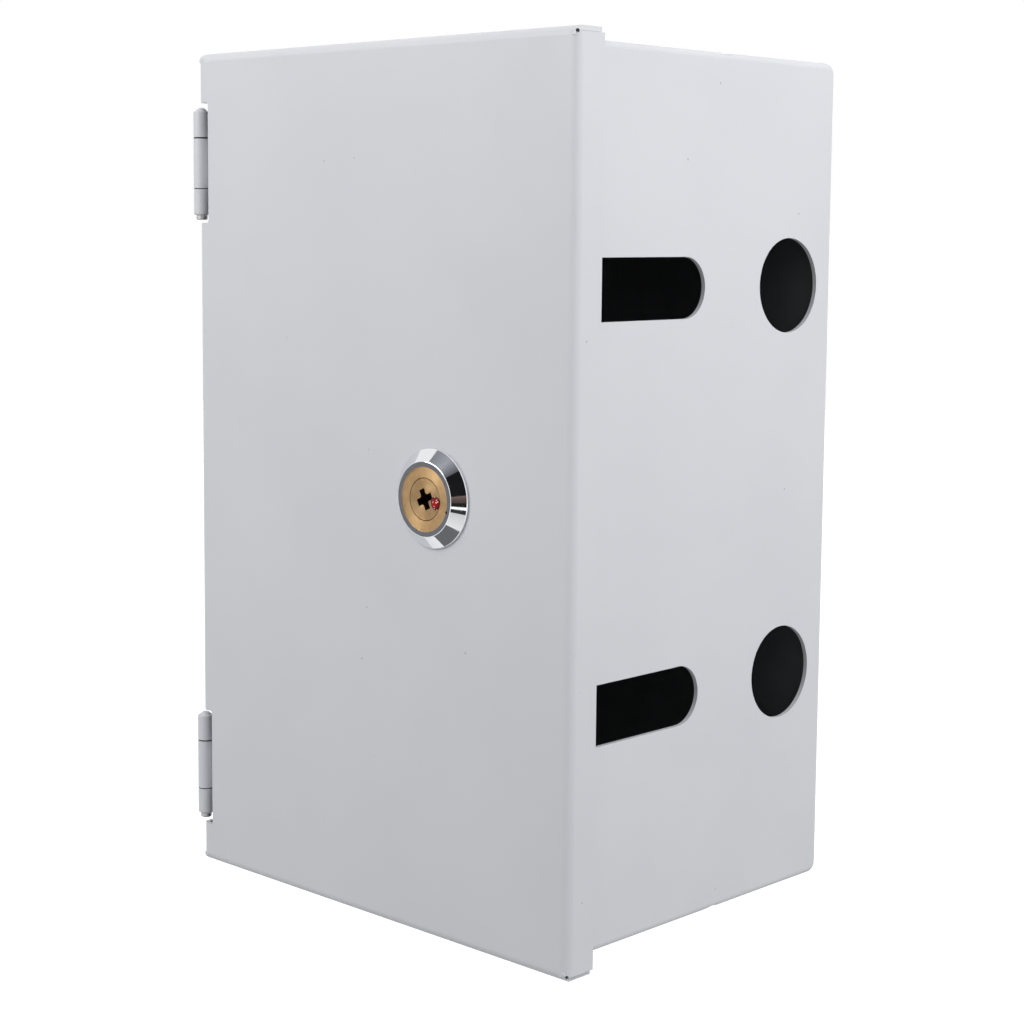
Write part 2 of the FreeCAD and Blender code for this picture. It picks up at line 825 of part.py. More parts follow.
lock_pieces = (
    lock_housing,
    lock_sleeve,
    lock_washer,
    lock_nut,
    driver_pins,
    tumbler_springs,
    lock_core,
    key_pins,
    index_dot,
    stop_washer,
    lock_cam,
    cam_washer,
    cam_screw,
)
for piece in lock_pieces:
    save(piece.__name__, on_lock_axis(piece()))
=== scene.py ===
"""Dress a lockable sheet-steel wall box for a studio picture.

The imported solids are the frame. Their finishes, the weld beads that hold the
hinges and the keeper, the enamel drop on the lock, the studio and the camera
are made here.

Lengths are in metres in the box's own frame: +X is right, +Y runs back into
the wall and +Z is up. The origin is the middle of the back.
"""

from __future__ import annotations

import json
import logging
import math
from dataclasses import dataclass
from enum import Enum
from typing import Any, Iterable, Union

import bmesh
import bpy
from mathutils import Matrix, Vector

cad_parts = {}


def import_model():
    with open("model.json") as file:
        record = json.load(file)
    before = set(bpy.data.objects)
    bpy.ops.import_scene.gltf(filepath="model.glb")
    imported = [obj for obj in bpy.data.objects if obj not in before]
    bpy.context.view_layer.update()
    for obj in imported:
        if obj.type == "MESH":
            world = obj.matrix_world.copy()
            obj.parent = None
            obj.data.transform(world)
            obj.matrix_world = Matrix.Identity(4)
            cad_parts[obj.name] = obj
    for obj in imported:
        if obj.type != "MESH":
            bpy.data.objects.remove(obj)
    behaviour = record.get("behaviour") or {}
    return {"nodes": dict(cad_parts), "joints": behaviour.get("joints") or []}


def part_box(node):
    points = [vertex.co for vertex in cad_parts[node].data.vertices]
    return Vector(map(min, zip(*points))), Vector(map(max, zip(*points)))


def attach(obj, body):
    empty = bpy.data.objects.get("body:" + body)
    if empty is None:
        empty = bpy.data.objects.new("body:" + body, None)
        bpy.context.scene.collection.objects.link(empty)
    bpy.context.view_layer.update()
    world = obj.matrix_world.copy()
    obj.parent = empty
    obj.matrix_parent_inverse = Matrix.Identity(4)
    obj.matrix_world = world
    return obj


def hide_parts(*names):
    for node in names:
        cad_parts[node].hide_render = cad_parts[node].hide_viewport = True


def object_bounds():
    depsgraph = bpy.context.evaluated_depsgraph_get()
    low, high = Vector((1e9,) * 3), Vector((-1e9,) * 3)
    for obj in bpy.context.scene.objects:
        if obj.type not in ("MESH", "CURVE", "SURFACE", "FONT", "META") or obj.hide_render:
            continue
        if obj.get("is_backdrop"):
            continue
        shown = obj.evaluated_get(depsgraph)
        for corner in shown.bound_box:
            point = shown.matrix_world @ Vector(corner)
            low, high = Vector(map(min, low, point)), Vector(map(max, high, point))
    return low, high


LOG = logging.getLogger("wall_box")
MM = 0.001
FULL_TURN = 2 * math.pi
PATCH_EDGES = (0.3, 0.7)
LEFT = Vector((-1.0, 0.0, 0.0))
BACK = Vector((0.0, 1.0, 0.0))

Colour = tuple[float, float, float]
Place = tuple[float, float, float]
Range = tuple[float, float]
Socket = bpy.types.NodeSocket
Value = Union[float, Colour, Socket]

WHITE: Colour = (1.0, 1.0, 1.0)


class Body(Enum):
    """The rigid groups that move against each other."""

    CASE = "case"
    DOOR = "door"
    CYLINDER = "lock_cylinder"


class Slot(Enum):
    """Names of the record's finishes, passed with the new pieces."""

    SHEET = "painted_sheet"
    HINGE = "painted_hinge"
    ENAMEL = "red_enamel"


class Grain(Enum):
    """How many finer layers a random pattern has."""

    SMOOTH = 1.0
    SOFT = 2.0
    BROKEN = 3.0
    ROUGH = 4.0


@dataclass(frozen=True)
class PunchMark:
    """A small round mark in the lock's front, near-black: painted shade inside its hole, dark as dirt."""

    x: float
    z: float
    radius: float = 0.45 * MM
    # Near-black: painted shade inside the hole.
    dirt_and_shade: Colour = (0.012, 0.011, 0.010)


class Recipe:
    """A material's node tree, with short calls for the nodes that the finishes share."""

    def __init__(self, name: str) -> None:
        """Start a material with one surface shader.

        Args:
            name: The material's name.
        """
        self.material = bpy.data.materials.new(name)
        self.material.use_nodes = True
        self.tree = self.material.node_tree
        self.tree.nodes.clear()
        self.shader = self.add("ShaderNodeBsdfPrincipled")
        output = self.add("ShaderNodeOutputMaterial")
        self.tree.links.new(self.shader.outputs["BSDF"], output.inputs["Surface"])
        self.place = self.add("ShaderNodeTexCoord").outputs["Object"]

    def add(self, kind: str, **settings: Any) -> bpy.types.Node:
        """Add a node.

        Args:
            kind: Blender's name for the node.
            **settings: Properties to set on it.

        Returns:
            The new node.
        """
        node = self.tree.nodes.new(kind)
        for key, value in settings.items():
            setattr(node, key, value)
        return node

    def feed(self, target: Socket, value: Value) -> None:
        """Link a socket, or write a constant into it.

        Args:
            target: The input to fill.
            value: Another node's output, a number or a colour.
        """
        if isinstance(value, bpy.types.NodeSocket):
            self.tree.links.new(value, target)
        elif isinstance(value, tuple) and target.type == "RGBA":
            target.default_value = (*value, 1.0)
        else:
            target.default_value = value

    def surface(self, **values: Value) -> None:
        """Fill the surface shader's inputs.

        Args:
            **values: Inputs by name, with underscores for spaces.
        """
        for key, value in values.items():
            self.feed(self.shader.inputs[key.replace("_", " ")], value)

    def sum(self, operation: str, first: Value, second: Value = 0.0) -> Socket:
        """Work out one step of arithmetic.

        Args:
            operation: The arithmetic node's operation.
            first: Its first operand.
            second: Its second operand, where it takes one.

        Returns:
            The result.
        """
        node = self.add("ShaderNodeMath", operation=operation)
        self.feed(node.inputs[0], first)
        self.feed(node.inputs[1], second)
        return node.outputs[0]

    def span(self, value: Value, low: float, high: float, start: float = 0.0, end: float = 1.0) -> Socket:
        """Ease a value from one range into another.

        Args:
            value: What is read.
            low: The value that gives start.
            high: The value that gives end.
            start: The result at and below low.
            end: The result at and above high.

        Returns:
            The eased value.
        """
        node = self.add("ShaderNodeMapRange", interpolation_type="SMOOTHSTEP")
        self.feed(node.inputs["Value"], value)
        for key, number in (("From Min", low), ("From Max", high), ("To Min", start), ("To Max", end)):
            node.inputs[key].default_value = number
        return node.outputs["Result"]

    def noise(self, size: float, grain: Grain = Grain.SOFT, place: Socket | None = None) -> Socket:
        """Add soft random variation.

        Args:
            size: The width of its patches in metres.
            grain: How broken up they are.
            place: Coordinates to read in place of the piece's own.

        Returns:
            A value about 0.5.
        """
        node = self.add("ShaderNodeTexNoise")
        self.feed(node.inputs["Vector"], place or self.place)
        node.inputs["Scale"].default_value = 1 / size
        node.inputs["Detail"].default_value = grain.value
        return node.outputs["Fac"]

    def patches(self, size: float, grain: Grain, low: float = 0.0, high: float = 1.0) -> Socket:
        """Ease soft variation into clear patches.

        Args:
            size: The width of the patches in metres.
            grain: How broken up they are.
            low: The result in one half of them.
            high: The result in the other half.

        Returns:
            A value from low to high.
        """
        return self.span(self.noise(size, grain), *PATCH_EDGES, low, high)

    def specks(self, spacing: float, radius: float) -> Socket:
        """Scatter small spots.

        Args:
            spacing: The width of the cells that hold one spot each.
            radius: The largest spot's radius.

        Returns:
            One inside a spot, falling to zero at its edge.
        """
        node = self.add("ShaderNodeTexVoronoi")
        self.feed(node.inputs["Vector"], self.place)
        node.inputs["Scale"].default_value = 1 / spacing
        reach = radius / spacing
        return self.span(node.outputs["Distance"], reach / 2, reach, 1.0, 0.0)

    def blend(self, share: Value, low: Value, high: Value) -> Socket:
        """Mix two colours.

        Args:
            share: Zero for low and one for high.
            low: The first colour.
            high: The second colour.

        Returns:
            The mixed colour.
        """
        node = self.add("ShaderNodeMix", data_type="RGBA")
        self.feed(node.inputs["Factor"], share)
        colours = [socket for socket in node.inputs if socket.type == "RGBA"]
        self.feed(colours[0], low)
        self.feed(colours[1], high)
        return next(socket for socket in node.outputs if socket.type == "RGBA")

    def bump(self, height: Socket, depth: float, under: Socket | None = None) -> Socket:
        """Raise the surface by a pattern.

        Args:
            height: The pattern.
            depth: How far one unit of it stands out, in metres.
            under: A normal that this one is laid over.

        Returns:
            The bent normal.
        """
        node = self.add("ShaderNodeBump")
        self.feed(node.inputs["Height"], height)
        node.inputs["Strength"].default_value = 1.0
        node.inputs["Distance"].default_value = depth
        if under:
            self.feed(node.inputs["Normal"], under)
        return node.outputs["Normal"]

    def axes(self, place: Socket | None = None) -> tuple[Socket, Socket, Socket]:
        """Split coordinates.

        Args:
            place: Coordinates to read in place of the piece's own.

        Returns:
            Their X, Y and Z.
        """
        node = self.add("ShaderNodeSeparateXYZ")
        self.feed(node.inputs[0], place or self.place)
        return node.outputs[0], node.outputs[1], node.outputs[2]

    def mapped(self, scale: Place, shift: Place = (0.0, 0.0, 0.0)) -> Socket:
        """Stretch and move the piece's coordinates.

        Args:
            scale: A factor for each axis.
            shift: A step for each axis, after the scaling.

        Returns:
            The new coordinates.
        """
        node = self.add("ShaderNodeMapping")
        self.feed(node.inputs["Vector"], self.place)
        node.inputs["Scale"].default_value = scale
        node.inputs["Location"].default_value = shift
        return node.outputs[0]

    def radius_about(self, x: float, z: float) -> Socket:
        """Measure the distance from a line that runs front to back.

        Args:
            x: The line's place across the box.
            z: The line's height.

        Returns:
            The distance in metres.
        """
        node = self.add("ShaderNodeVectorMath", operation="LENGTH")
        self.feed(node.inputs[0], self.mapped((1.0, 0.0, 1.0), (-x, 0.0, -z)))
        return node.outputs["Value"]

    def marked(self, colour: Value, mark: PunchMark) -> Socket:
        """Blacken a punch mark with painted shade, as the shadow inside its small hole.

        Args:
            colour: The colour around it.
            mark: Its place and size.

        Returns:
            The new colour.
        """
        inside = self.sum("LESS_THAN", self.radius_about(mark.x, mark.z), mark.radius)
        return self.blend(inside, colour, mark.dirt_and_shade)


@dataclass(frozen=True)
class PowderCoat:
    """Satin powder coat with a fine skin, faint mottling and a few nibs of dust.

    Where a hollow is given, the coat thins out behind its mouth and shows the grey primer of the sheet,
    dark as painted shade inside the closed box. Where a bare end is given, worn steel shows below it.
    """

    name: str
    tint: Colour = (0.640, 0.650, 0.672)
    shade: Colour = (0.620, 0.630, 0.653)
    speck: Colour = (0.300, 0.300, 0.310)
    primer_and_shade: Colour = (0.115, 0.118, 0.125)
    pale_primer_and_shade: Colour = (0.155, 0.159, 0.169)
    steel: Colour = (0.420, 0.415, 0.405)
    hollow: tuple[Place, Place] | None = None
    bare_below: float | None = None
    mottle: float = 42 * MM
    gloss_patch: float = 14 * MM
    rough: Range = (0.41, 0.49)
    primer_rough: float = 0.15
    primer_patch: float = 8.4 * MM
    skin: float = 0.9 * MM
    skin_depth: float = 0.010 * MM
    wave: float = 7 * MM
    wave_depth: float = 0.02 * MM
    speck_spacing: float = 11 * MM
    speck_radius: float = 0.36 * MM
    speck_share: float = 0.7
    fade_start: float = 3 * MM
    fade_end: float = 24 * MM
    fade_patch: float = 10.5 * MM
    wear_patch: float = 0.6 * MM
    edge_wear: float = 0.5 * MM

    def material(self) -> bpy.types.Material:
        """Make the finish.

        Returns:
            Its material.
        """
        recipe = Recipe(self.name)
        colour = recipe.blend(recipe.patches(self.mottle, Grain.BROKEN), self.shade, self.tint)
        specks = recipe.specks(self.speck_spacing, self.speck_radius)
        colour = recipe.blend(recipe.sum("MULTIPLY", specks, self.speck_share), colour, self.speck)
        rough = recipe.patches(self.gloss_patch, Grain.SOFT, *self.rough)
        metal: Value = 0.0
        if self.hollow:
            # Inside the box the dark primer is partly real primer and partly painted shade of the closed
            # hollow.
            thin = self.inside(recipe)
            cloud = recipe.noise(self.primer_patch, Grain.BROKEN)
            primer_and_shade = recipe.blend(cloud, self.primer_and_shade, self.pale_primer_and_shade)
            colour = recipe.blend(thin, colour, primer_and_shade)
            rough = recipe.sum("ADD", rough, recipe.sum("MULTIPLY", thin, self.primer_rough))
        if self.bare_below is not None:
            metal = self.worn(recipe)
            colour = recipe.blend(metal, colour, self.steel)
        waves = recipe.bump(recipe.noise(self.wave, Grain.SMOOTH), self.wave_depth)
        skin = recipe.bump(recipe.noise(self.skin, Grain.SOFT), self.skin_depth, waves)
        recipe.surface(Base_Color=colour, Roughness=rough, Metallic=metal, Normal=skin)
        return recipe.material

    def inside(self, recipe: Recipe) -> Socket:
        """Find where the coat has thinned out inside the hollow, which is also where the box's painted
        shade goes.

        Args:
            recipe: The material that is being made.

        Returns:
            One deep inside, zero outside.
        """
        low, high = self.hollow
        across, back, up = recipe.axes()
        side = recipe.sum("SUBTRACT", recipe.sum("ABSOLUTE", across), high[0])
        ends = recipe.sum("SUBTRACT", recipe.sum("ABSOLUTE", up), high[2])
        rear = recipe.sum("SUBTRACT", back, high[1])
        outside = recipe.sum("MAXIMUM", recipe.sum("MAXIMUM", side, ends), rear)
        within = recipe.sum("LESS_THAN", outside, 0.0)
        ragged = recipe.sum("MULTIPLY", recipe.noise(self.fade_patch, Grain.BROKEN), self.fade_end / 2)
        depth = recipe.sum("ADD", back, ragged)
        deep = recipe.span(depth, low[1] + self.fade_start, low[1] + self.fade_end)
        return recipe.sum("MULTIPLY", within, deep)

    def worn(self, recipe: Recipe) -> Socket:
        """Find where the coat has worn off the end.

        Args:
            recipe: The material that is being made.

        Returns:
            One on bare steel, zero on the coat.
        """
        height = recipe.axes()[2]
        ragged = recipe.sum("MULTIPLY", recipe.noise(self.wear_patch, Grain.SOFT), 2 * self.edge_wear)
        level = recipe.sum("ADD", height, ragged)
        return recipe.span(level, self.bare_below, self.bare_below + self.edge_wear, 1.0, 0.0)


@dataclass(frozen=True)
class PlatedBezel:
    """Polished chrome plate with a matt, faced front rim."""

    name: str
    x: float
    z: float
    rim_front: float
    stake: PunchMark
    chrome: Colour = (0.800, 0.810, 0.830)
    rim: Colour = (0.095, 0.099, 0.110)
    worn_rim: Colour = (0.145, 0.150, 0.165)
    rim_patch: float = 0.8 * MM
    rim_depth: float = 0.012 * MM
    rim_rough: float = 0.33
    smear: float = 2.5 * MM
    smear_edges: Range = (0.45, 0.80)
    rough: Range = (0.035, 0.11)
    ring_pitch: float = 0.16 * MM
    ring_depth: float = 0.0015 * MM

    def material(self) -> bpy.types.Material:
        """Make the finish.

        Returns:
            Its material.
        """
        recipe = Recipe(self.name)
        flat = recipe.sum("LESS_THAN", recipe.axes()[1], self.rim_front + self.rim_depth)
        rim = recipe.blend(recipe.noise(self.rim_patch, Grain.BROKEN), self.rim, self.worn_rim)
        # The punch mark is darkened with painted shade.
        colour = recipe.marked(recipe.blend(flat, self.chrome, rim), self.stake)
        polish = recipe.span(recipe.noise(self.smear, Grain.ROUGH), *self.smear_edges, *self.rough)
        rough = recipe.sum("ADD", polish, recipe.sum("MULTIPLY", flat, self.rim_rough))
        radius = recipe.radius_about(self.x, self.z)
        ring = recipe.sum("SINE", recipe.sum("MULTIPLY", radius, FULL_TURN / self.ring_pitch))
        marks = recipe.sum("MULTIPLY", ring, flat)
        normal = recipe.bump(marks, self.ring_depth)
        recipe.surface(Base_Color=colour, Roughness=rough, Metallic=1.0, Normal=normal)
        return recipe.material


@dataclass(frozen=True)
class TurnedBrass:
    """Faced brass with the lathe's rings, scuffed where the key meets it."""

    name: str
    x: float
    z: float
    stake: PunchMark
    bright: Colour = (0.400, 0.262, 0.128)
    dull: Colour = (0.345, 0.219, 0.102)
    grime: Colour = (0.150, 0.090, 0.038)
    tone_patch: float = 1.6 * MM
    ring_pitch: float = 0.30 * MM
    ring_depth: float = 0.020 * MM
    ring_rough: Range = (0.27, 0.38)
    ring_drift: float = 3.0
    drift_patch: float = 2.0 * MM
    scuff_reach: float = 4.6 * MM
    scuff_size: float = 0.45 * MM
    scuff_depth: float = 0.02 * MM
    scuff_edges: Range = (0.56, 0.74)
    scuff_share: float = 0.55

    def material(self) -> bpy.types.Material:
        """Make the finish.

        Returns:
            Its material.
        """
        recipe = Recipe(self.name)
        radius = recipe.radius_about(self.x, self.z)
        drift = recipe.sum("MULTIPLY", recipe.noise(self.drift_patch, Grain.SOFT), self.ring_drift)
        turns = recipe.sum("MULTIPLY", radius, FULL_TURN / self.ring_pitch)
        ring = recipe.sum("SINE", recipe.sum("ADD", turns, drift))
        colour = recipe.blend(recipe.patches(self.tone_patch, Grain.ROUGH), self.dull, self.bright)
        near_key = recipe.span(radius, self.scuff_reach / 2, self.scuff_reach, 1.0, 0.0)
        scuffs = recipe.noise(self.scuff_size, Grain.BROKEN)
        dirt_and_shade = recipe.sum("MULTIPLY", near_key, recipe.span(scuffs, *self.scuff_edges))
        colour = recipe.blend(recipe.sum("MULTIPLY", dirt_and_shade, self.scuff_share), colour, self.grime)
        # The punch mark is darkened with painted shade.
        colour = recipe.marked(colour, self.stake)
        rough = recipe.span(ring, -1.0, 1.0, *self.ring_rough)
        grooves = recipe.bump(ring, self.ring_depth)
        dents = recipe.bump(recipe.sum("MULTIPLY", scuffs, near_key), self.scuff_depth, grooves)
        recipe.surface(Base_Color=colour, Roughness=rough, Metallic=1.0, Normal=dents)
        return recipe.material


@dataclass(frozen=True)
class EnamelDrop:
    """A glossy red enamel drop, darker where thin at its edge, with painted glints: bright metal specks."""

    name: str
    x: float
    z: float
    radius: float
    full: Colour = (0.400, 0.002, 0.005)
    thin: Colour = (0.110, 0.002, 0.003)
    edge: Range = (0.45, 1.25)
    edge_patch: float = 0.7 * MM
    edge_drift: float = 0.5
    ripple: float = 0.55 * MM
    ripple_depth: float = 0.05 * MM
    painted_glint: Colour = (0.900, 0.620, 0.560)
    painted_glint_spacing: float = 0.75 * MM
    painted_glint_radius: float = 0.26 * MM
    rough: float = 0.05
    specular: float = 0.10

    def material(self) -> bpy.types.Material:
        """Make the finish.

        Returns:
            Its material.
        """
        recipe = Recipe(self.name)
        away = recipe.sum("DIVIDE", recipe.radius_about(self.x, self.z), self.radius)
        ragged = recipe.sum("MULTIPLY", recipe.noise(self.edge_patch, Grain.BROKEN), self.edge_drift)
        edge = recipe.span(recipe.sum("ADD", away, ragged), *self.edge)
        # Painted glints: small bright metallic specks that stand in for highlights.
        painted_glints = recipe.specks(self.painted_glint_spacing, self.painted_glint_radius)
        colour = recipe.blend(painted_glints, recipe.blend(edge, self.full, self.thin), self.painted_glint)
        normal = recipe.bump(recipe.noise(self.ripple, Grain.SMOOTH), self.ripple_depth)
        recipe.surface(Base_Color=colour, Metallic=painted_glints, Normal=normal)
        recipe.surface(Roughness=self.rough, Specular_IOR_Level=self.specular)
        return recipe.material


@dataclass(frozen=True)
class PlatedSteel:
    """Plated steel, or near-black steel that is painted shade, with a faint straw and blue bloom and
    rolling marks.
    """

    name: str
    cool: Colour = (0.560, 0.580, 0.610)
    straw: Colour = (0.620, 0.600, 0.530)
    bloom: float = 6 * MM
    streak: float = 0.5 * MM
    streak_stretch: float = 0.06
    streak_depth: float = 0.003 * MM
    rough: Range = (0.26, 0.42)
    metal: float = 1.0

    def material(self) -> bpy.types.Material:
        """Make the finish.

        Returns:
            Its material.
        """
        recipe = Recipe(self.name)
        colour = recipe.blend(recipe.patches(self.bloom, Grain.BROKEN), self.cool, self.straw)
        along = recipe.mapped((1.0, 1.0, self.streak_stretch))
        streaks = recipe.noise(self.streak, Grain.BROKEN, along)
        rough = recipe.span(streaks, *PATCH_EDGES, *self.rough)
        normal = recipe.bump(streaks, self.streak_depth)
        recipe.surface(Base_Color=colour, Roughness=rough, Metallic=self.metal, Normal=normal)
        return recipe.material


Finish = Union[PowderCoat, PlatedBezel, TurnedBrass, EnamelDrop, PlatedSteel]
ZINC_PLATE = PlatedSteel("zinc_plate")
SPRING_WIRE = PlatedSteel("spring_wire", cool=(0.40, 0.41, 0.43), straw=(0.45, 0.44, 0.42))
# Near-black, not metallic: painted shade for the dark gaps between the hinge knuckles.
GAP_SHADE_STEEL = PlatedSteel(
    "gap_shade_steel", cool=(0.022, 0.022, 0.026), straw=(0.030, 0.028, 0.026), metal=0.0
)


class Paintshop:
    """Makes each finish once and puts it on the solids and the new pieces."""

    def __init__(self, nodes: dict[str, bpy.types.Object]) -> None:
        """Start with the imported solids.

        Args:
            nodes: The solids by name.
        """
        self.nodes = nodes
        self.made: dict[Finish, bpy.types.Material] = {}

    def finish(self, finish: Finish) -> bpy.types.Material:
        """Make a finish, or find the one made before.

        Args:
            finish: What is wanted.

        Returns:
            Its material.
        """
        if finish not in self.made:
            self.made[finish] = finish.material()
        return self.made[finish]

    def dress(self, names: Iterable[str], finish: Finish) -> None:
        """Put one finish on several solids.

        Args:
            names: The solids' names.
            finish: What they get.
        """
        for name in names:
            for slot in self.nodes[name].material_slots:
                slot.material = self.finish(finish)
            LOG.info("%s: %s", name, finish.name)

    def fit(self, piece: bpy.types.Object, finish: Finish, body: Body, slot: Slot) -> None:
        """Finish a new piece and let it move with a body.

        Args:
            piece: What was modelled.
            finish: What it gets.
            body: What it moves with.
            slot: Not used.
        """
        piece.data.materials.append(self.finish(finish))
        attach(piece, body.value)
        LOG.info("%s: %s", piece.name, finish.name)


def settle(mesh: bmesh.types.BMesh, name: str) -> bpy.types.Object:
    """Turn a finished mesh into an object of the scene.

    Args:
        mesh: What was modelled. It is freed.
        name: The object's name.

    Returns:
        The object, at the origin.
    """
    data = bpy.data.meshes.new(name)
    mesh.to_mesh(data)
    mesh.free()
    piece = bpy.data.objects.new(name, data)
    bpy.context.scene.collection.objects.link(piece)
    return piece


@dataclass
class WeldBead:
    """A short weld of overlapping ripples, laid in a corner and painted over."""

    name: str
    start: Vector
    end: Vector
    width: float = 1.5 * MM
    height: float = 0.55 * MM
    ripple: float = 0.9 * MM
    overlap: float = 1.9
    segments: int = 12
    rings: int = 8

    def build(self, out_of: Vector) -> bpy.types.Object:
        """Lay the ripples from start to end.

        Args:
            out_of: The direction in which the bead stands out.

        Returns:
            The bead.
        """
        run = self.end - self.start
        count = max(2, round(run.length / self.ripple))
        along = run.normalized()
        side = out_of.cross(along).normalized()
        turn = Matrix((along, side, out_of)).transposed().to_4x4()
        half = Vector((self.ripple * self.overlap / 2, self.width / 2, self.height))
        mesh = bmesh.new()
        for index in range(count):
            middle = self.start + run * ((index + 0.5) / count)
            place = Matrix.Translation(middle) @ turn @ Matrix.Diagonal((*half, 1.0))
            bmesh.ops.create_uvsphere(
                mesh, u_segments=self.segments, v_segments=self.rings, radius=1.0, matrix=place
            )
        for face in mesh.faces:
            face.smooth = True
        bmesh.ops.recalc_face_normals(mesh, faces=mesh.faces)
        return settle(mesh, self.name)


@dataclass
class Case:
    """The folded body, its welded sides and the lock's keeper."""

    shop: Paintshop
    touch: float = 0.05 * MM
    bead_margin: float = 5 * MM

    def hollow(self) -> tuple[Place, Place]:
        """Find the space inside the sheet, from its mouth to the back.

        Returns:
            Its lowest and highest corners, just past the faces.
        """
        wrap_low, wrap_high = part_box("body_wrap")
        side_low, side_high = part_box("right_side_panel")
        sheet = side_high.x - side_low.x
        grow = self.touch
        low = (-side_low.x - grow, wrap_low.y, wrap_low.z + sheet - grow)
        high = (side_low.x + grow, wrap_high.y - sheet + grow, wrap_high.z - sheet + grow)
        return low, high

    def coat(self) -> PowderCoat:
        """The body's paint, thin inside, with the dark primer there partly as painted shade."""
        return PowderCoat("body_coat", hollow=self.hollow())

    def build(self) -> None:
        """Paint the body and weld the keeper in."""
        names = ("body_wrap", "left_side_panel", "right_side_panel", "lock_keeper")
        self.shop.dress(names, self.coat())
        low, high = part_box("lock_keeper")
        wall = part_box("right_side_panel")[0].x
        for label, height in (("upper", high.z), ("lower", low.z)):
            start = Vector((wall, low.y + self.bead_margin, height))
            end = Vector((wall, high.y - self.bead_margin, height))
            bead = WeldBead(f"keeper_weld_{label}", start, end).build(LEFT)
            self.shop.fit(bead, self.coat(), Body.CASE, Slot.SHEET)


@dataclass
class Hinge:
    """One butt hinge: two welded leaves and a pin with a worn lower end."""

    shop: Paintshop
    place: str
    bead_length: float = 7 * MM
    bead_inset: float = 3 * MM
    skin_depth: float = 0.007 * MM

    def build(self) -> None:
        """Paint the hinge and weld its leaves."""
        body_leaf = f"{self.place}_hinge_body_leaf"
        door_leaf = f"{self.place}_hinge_door_leaf"
        pin = f"{self.place}_hinge_pin"
        coat = PowderCoat("hinge_coat", skin_depth=self.skin_depth)
        self.shop.dress((body_leaf, door_leaf), coat)
        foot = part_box(body_leaf)[0].z
        self.shop.dress((pin,), PowderCoat(f"{pin}_coat", bare_below=foot))
        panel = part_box("left_side_panel")[0].x
        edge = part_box(body_leaf)[1].y
        self.weld("body", Body.CASE, Vector((panel, edge, 0.0)), LEFT, coat)
        # The washers between the knuckles are near-black: painted shade for the gaps.
        self.shop.dress((f"{self.place}_hinge_washers",), GAP_SHADE_STEEL)
        far_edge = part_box(door_leaf)[1].x
        door_edge = Vector((far_edge, self.door_back(), 0.0))
        self.weld("door", Body.DOOR, door_edge, BACK, coat)

    def door_back(self) -> float:
        """Find the back of the door's front sheet, which the washer is clamped to."""
        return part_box("lock_washer")[0].y

    def weld(self, side: str, body: Body, edge: Vector, out_of: Vector, coat: PowderCoat) -> None:
        """Weld one leaf along its far edge, near both ends.

        Args:
            side: Which leaf it is.
            body: What the leaf moves with.
            edge: A point that gives the edge's X and Y.
            out_of: The direction in which the beads stand out.
            coat: The paint over them.
        """
        low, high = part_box(f"{self.place}_hinge_{side}_leaf")
        starts = (low.z + self.bead_inset, high.z - self.bead_inset - self.bead_length)
        for label, height in zip(("lower", "upper"), starts):
            start = Vector((edge.x, edge.y, height))
            end = Vector((edge.x, edge.y, height + self.bead_length))
            bead = WeldBead(f"{self.place}_{side}_leaf_weld_{label}", start, end).build(out_of)
            self.shop.fit(bead, coat, body, Slot.HINGE)


@dataclass
class Door:
    """The door pan."""

    shop: Paintshop

    def build(self) -> None:
        """Paint the door."""
        self.shop.dress(("door_panel",), PowderCoat("door_coat"))


@dataclass
class IndexDrop:
    """The red drop on the core's face: a low dome with an uneven rim, laid over the small recess."""

    shop: Paintshop
    axis: Vector
    radius: float = 1.74 * MM
    overhang: float = 0.18 * MM
    lift: float = 0.02 * MM
    lobes: int = 3
    unevenness: float = 0.04
    segments: int = 48
    rings: int = 24

    def middle(self) -> Vector:
        """Find the drop's middle, just so far out that it hangs over the core's rim.

        Returns:
            The middle, on the core's face.
        """
        low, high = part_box("index_dot")
        core_low, core_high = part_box("lock_core")
        out = (low + high) / 2 - self.axis
        out.y = 0.0
        reach = core_high.x - self.axis.x + self.overhang - self.radius
        return Vector((self.axis.x, core_low.y, self.axis.z)) + out.normalized() * reach

    def build(self) -> None:
        """Swell the drop, flatten its back just clear of the sleeve's face and paint it."""
        middle = self.middle()
        rise = middle.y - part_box("index_dot")[0].y
        size = Matrix.Diagonal((self.radius, rise, self.radius, 1.0))
        mesh = bmesh.new()
        bmesh.ops.create_uvsphere(
            mesh, u_segments=self.segments, v_segments=self.rings, radius=1.0, matrix=size
        )
        for vert in mesh.verts:
            swell = 1 + self.unevenness * math.sin(self.lobes * math.atan2(vert.co.z, vert.co.x))
            vert.co = middle + Vector((vert.co.x * swell, min(vert.co.y, -self.lift), vert.co.z * swell))
        for face in mesh.faces:
            face.smooth = face.calc_center_median().y < middle.y
        drop = settle(mesh, "index_drop")
        enamel = EnamelDrop("red_enamel_drop", middle.x, middle.z, self.radius)
        self.shop.fit(drop, enamel, Body.CYLINDER, Slot.ENAMEL)
        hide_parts("index_dot")


